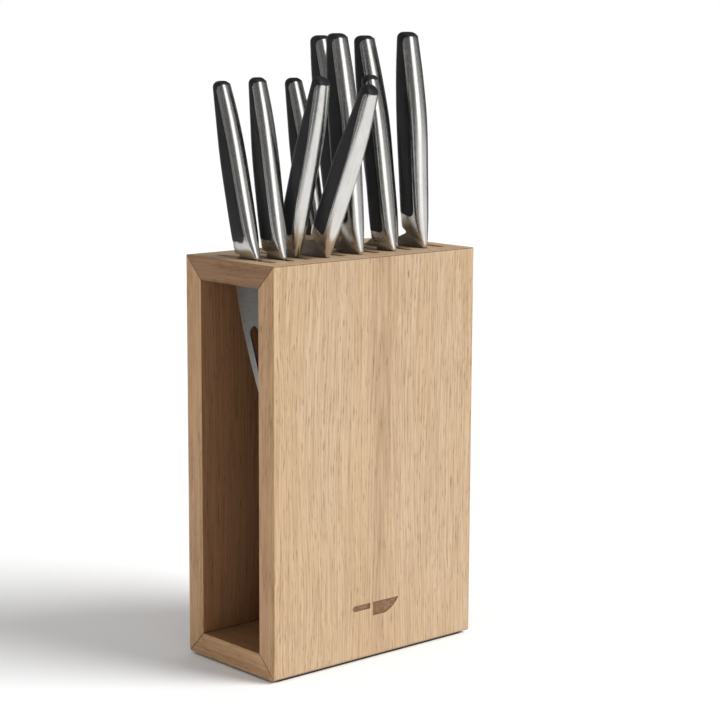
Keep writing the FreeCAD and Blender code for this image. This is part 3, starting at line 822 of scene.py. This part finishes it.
# blades, hanging from the bolster's tip: spine at +Y 1.4, edge further along +Y, point at -Z
bladeShape = {
    "setback": 1.4,
    "thickness": 2.0,
    "heelDrop": 2.5,
    "lap": 3.0,             # shoulder inside the bolster
    "rootDepth": 2.0,       # spine inside the bolster
    "rootTaper": 0.05,
    "root": 0.84,           # width inside the bolster, as a share of the handle's
    "ridge": 0.46,          # where the ground bevel starts, as a share of the width
    "edge": 0.18,           # thickness along the edge
    "spineEase": 0.3,
    "pointThickness": 0.55,     # thickness at the point, as a share
    "rows": 46,
    "noseBow": (2.2, 20.0),
    "noseReach": 0.98,
    "edgeBow": 1.5,
    "blunt": 0.15,          # how far short of the point the last row stands
    "leastWidth": 0.3,
    "smooth": 1.5,          # degrees: shaded smooth below this
}
hole = {"setIn": 4.3, "radius": 4.8, "tipRadius": 1.3, "length": 40.5, "depth": 46.3, "ease": 0.35,
        "sides": 48, "cutter": 8.0, "slack": 0.1}
knives = {
    "cheese_knife": {"kind": "short", "cant": 5.4, "length": 108, "width": 25, "nose": 3, "sweep": 102},
    "paring_knife": {"kind": "short", "cant": 4.6, "length": 85, "width": 18, "nose": 4, "sweep": 50},
    "peeling_knife": {"kind": "short", "cant": 0.5, "length": 75, "width": 18, "nose": 10, "sweep": 30},
    "vegetable_knife": {"kind": "short", "cant": -3, "length": 72, "width": 28, "nose": 12, "sweep": 34},
    "utility_knife": {"kind": "short", "cant": 4.2, "length": 105, "width": 20, "nose": 5, "sweep": 60},
    "carving_knife": {"kind": "long", "cant": 4.7, "length": 200, "width": 27, "nose": 6, "sweep": 90},
    "bread_knife": {"kind": "long", "cant": 2.3, "length": 200, "width": 28, "nose": 14, "sweep": 30},
    "boning_knife": {"kind": "short", "cant": 8, "length": 110, "width": 17, "nose": 2, "sweep": 70},
    "santoku_knife": {"kind": "long", "cant": 3.9, "length": 168, "width": 40, "nose": 30, "sweep": 60},
    "chef_knife": {"kind": "long", "cant": 2.1, "length": 200, "width": 44, "nose": 8, "sweep": 150},
}


def arcHeight(chordLow, chordHigh, radius, z):
    # Across-value at height z of an arc through two points (across, up) that bulges from the blade's middle.
    (yA, zA), (yB, zB) = chordLow, chordHigh
    dy, dz = yB - yA, zB - zA
    chord = math.hypot(dy, dz)
    reach = math.sqrt(max(radius ** 2 - (chord / 2) ** 2, 0))
    centreY = (yA + yB) / 2 - dz / chord * reach
    centreZ = (zA + zB) / 2 + dy / chord * reach
    return centreY + math.sqrt(max(radius ** 2 - (z - centreZ) ** 2, 0))


def bladeEdges(knife, z):
    # Spine and edge across the blade at height z.
    spine = bladeShape["setback"]
    edge = spine + knife["width"]
    nose, sweep, point = knife["nose"], knife["sweep"], -knife["length"]
    factor, more = bladeShape["noseBow"]
    bow = factor * nose + more
    noseTop = point + bladeShape["noseReach"] * math.sqrt((2 * bow - nose) * nose)
    drop = knife["width"] - nose
    edgeRadius = (sweep ** 2 + drop ** 2) / (bladeShape["edgeBow"] * drop)
    back = spine
    if z < noseTop:
        # the nose is the mirror image of an edge arc
        back = -arcHeight((-(spine + nose), point), (-spine, noseTop), bow, z)
    front = edge
    if z < point + sweep:
        front = arcHeight((spine + nose, point), (edge, point + sweep), edgeRadius, z)
    rise = handles[knife["kind"]]["bolsterRise"]
    root = bladeShape["root"] * handles[knife["kind"]]["width"]
    heel = -bladeShape["heelDrop"]
    if z > rise / 2:
        front = root
    elif z > heel:
        front = edge + (root - edge) * (z - heel) / (rise / 2 - heel)
    return back, max(front, back + bladeShape["leastWidth"])


def bladeRings(knife):
    kind = handles[knife["kind"]]
    top = kind["bolsterRise"] + bladeShape["lap"]
    start = -bladeShape["heelDrop"]
    levels = [top, kind["bolsterRise"] / 2, kind["bolsterRise"] / 4, start / 2, start]
    reach = -knife["length"] + bladeShape["blunt"] - start
    rows = bladeShape["rows"]
    levels += [start + reach * math.sin(math.pi / 2 * i / rows) for i in range(1, rows + 1)]
    rings = []
    for z in reversed(levels):
        back, front = bladeEdges(knife, z)
        if z > bladeShape["rootDepth"]:
            back += (z - bladeShape["rootDepth"]) * bladeShape["rootTaper"]
        past = max(-z / knife["length"], 0)
        half = bladeShape["thickness"] / 2 * (1 - (1 - bladeShape["pointThickness"]) * past ** 2)
        ease = min(bladeShape["spineEase"], (front - back) / 6)
        ridge = back + max(bladeShape["ridge"] * (front - back), ease * 1.5)
        inHandle = z > start / 2
        edgeHalf = half if inHandle else bladeShape["edge"] / 2
        side = [(half - ease, back), (half, back + ease), (half, ridge),
                ((half + edgeHalf) / 2, (ridge + front) / 2), (edgeHalf, front)]
        rings.append([(x, y, z) for x, y in side] + [(-x, y, z) for x, y in reversed(side)])
    return rings


def cutHole(piece):
    deselectAll()
    bpy.ops.mesh.primitive_cylinder_add(vertices=hole["sides"], radius=1, depth=hole["cutter"] * mm)
    cutter = bpy.context.object
    side = bladeShape["setback"] + hole["setIn"]
    top = -hole["depth"]
    foot = top + hole["radius"] + hole["tipRadius"] - hole["length"]
    for vertex in cutter.data.vertices:
        across, up = vertex.co.x, vertex.co.y
        radius, level = (hole["radius"], top) if up > -1e-4 else (hole["tipRadius"], foot)
        vertex.co = Vector((vertex.co.z, (side + radius + radius * across) * mm, (level + radius * up) * mm))
    pick(cutter)
    bpy.ops.object.mode_set(mode="EDIT")
    bpy.ops.mesh.select_all(action="SELECT")
    bpy.ops.mesh.normals_make_consistent(inside=False)
    bpy.ops.object.mode_set(mode="OBJECT")
    applyModifier(piece, "BOOLEAN", object=cutter, operation="DIFFERENCE", solver="EXACT")
    bpy.data.objects.remove(cutter)
    low, high = foot - hole["tipRadius"], top + hole["radius"]
    slack, wide = hole["slack"], 2 * hole["radius"]
    easeEdges(piece, hole["ease"] * mm, lambda middle: low - slack < middle.z / mm < high + slack
              and side - slack < middle.y / mm < side + wide + slack)


def tipOfBolster(name, lean):
    # The flat toe's spine corner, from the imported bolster.
    low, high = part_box(name + "_bolster")
    middle = (low.x + high.x) / 2
    if lean > 0:
        return Vector((middle, low.y, low.z + handleShape["toe"] * mm * math.sin(lean)))
    lowest = min((v.co for v in nodes[name + "_bolster"].data.vertices), key=lambda co: co.z)
    return Vector((middle, lowest.y, lowest.z))


def leanOver(piece, tip, lean):
    cosine, sine = math.cos(lean), math.sin(lean)
    for vertex in piece.data.vertices:
        x, y, z = vertex.co
        vertex.co = tip + Vector((x, y * cosine + z * sine, z * cosine - y * sine))


def finishPiece(piece, material, name, word, angle):
    pick(piece)
    bpy.ops.object.shade_smooth_by_angle(angle=math.radians(angle))
    setMaterial(piece, material)
    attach(piece, name)
    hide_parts(name + "_" + word)


def addKnife(name, forms):
    knife = knives[name]
    joint = [j for j in frame["joints"] if j["child"] == name][0]
    bladeLean = math.atan2(joint["axis"][1], joint["axis"][2])
    lean = bladeLean + math.radians(knife["cant"])
    tip = tipOfBolster(name, lean)
    steelForm, gripForm = forms[knife["kind"]]
    bolster = copyOf(steelForm, name + "_bolster_brushed")
    leanOver(bolster, tip, lean)
    smooth = handleShape["smooth"]
    brushed = steelMaterial("bolsterSteel_" + name, "bolster", lean)
    finishPiece(bolster, brushed, name, "bolster", smooth)
    handle = copyOf(gripForm, name + "_grip_moulded")
    leanOver(handle, tip, lean)
    finishPiece(handle, gripMaterial, name, "grip", smooth)
    blade = ringForm(name + "_blade_ground", bladeRings(knife))
    if name == "cheese_knife":
        cutHole(blade)
    leanOver(blade, tip, bladeLean)
    ground = steelMaterial("bladeSteel_" + name, "blade", bladeLean)
    finishPiece(blade, ground, name, "blade", bladeShape["smooth"])


forms = {}
for kind, size in handles.items():
    forms[kind] = (ringForm(kind + "Bolster", steelRings(size)), ringForm(kind + "Grip", gripRings(size)))
for name in knives:
    addKnife(name, forms)
for pair in forms.values():
    for form in pair:
        bpy.data.objects.remove(form)
print("knives ready")
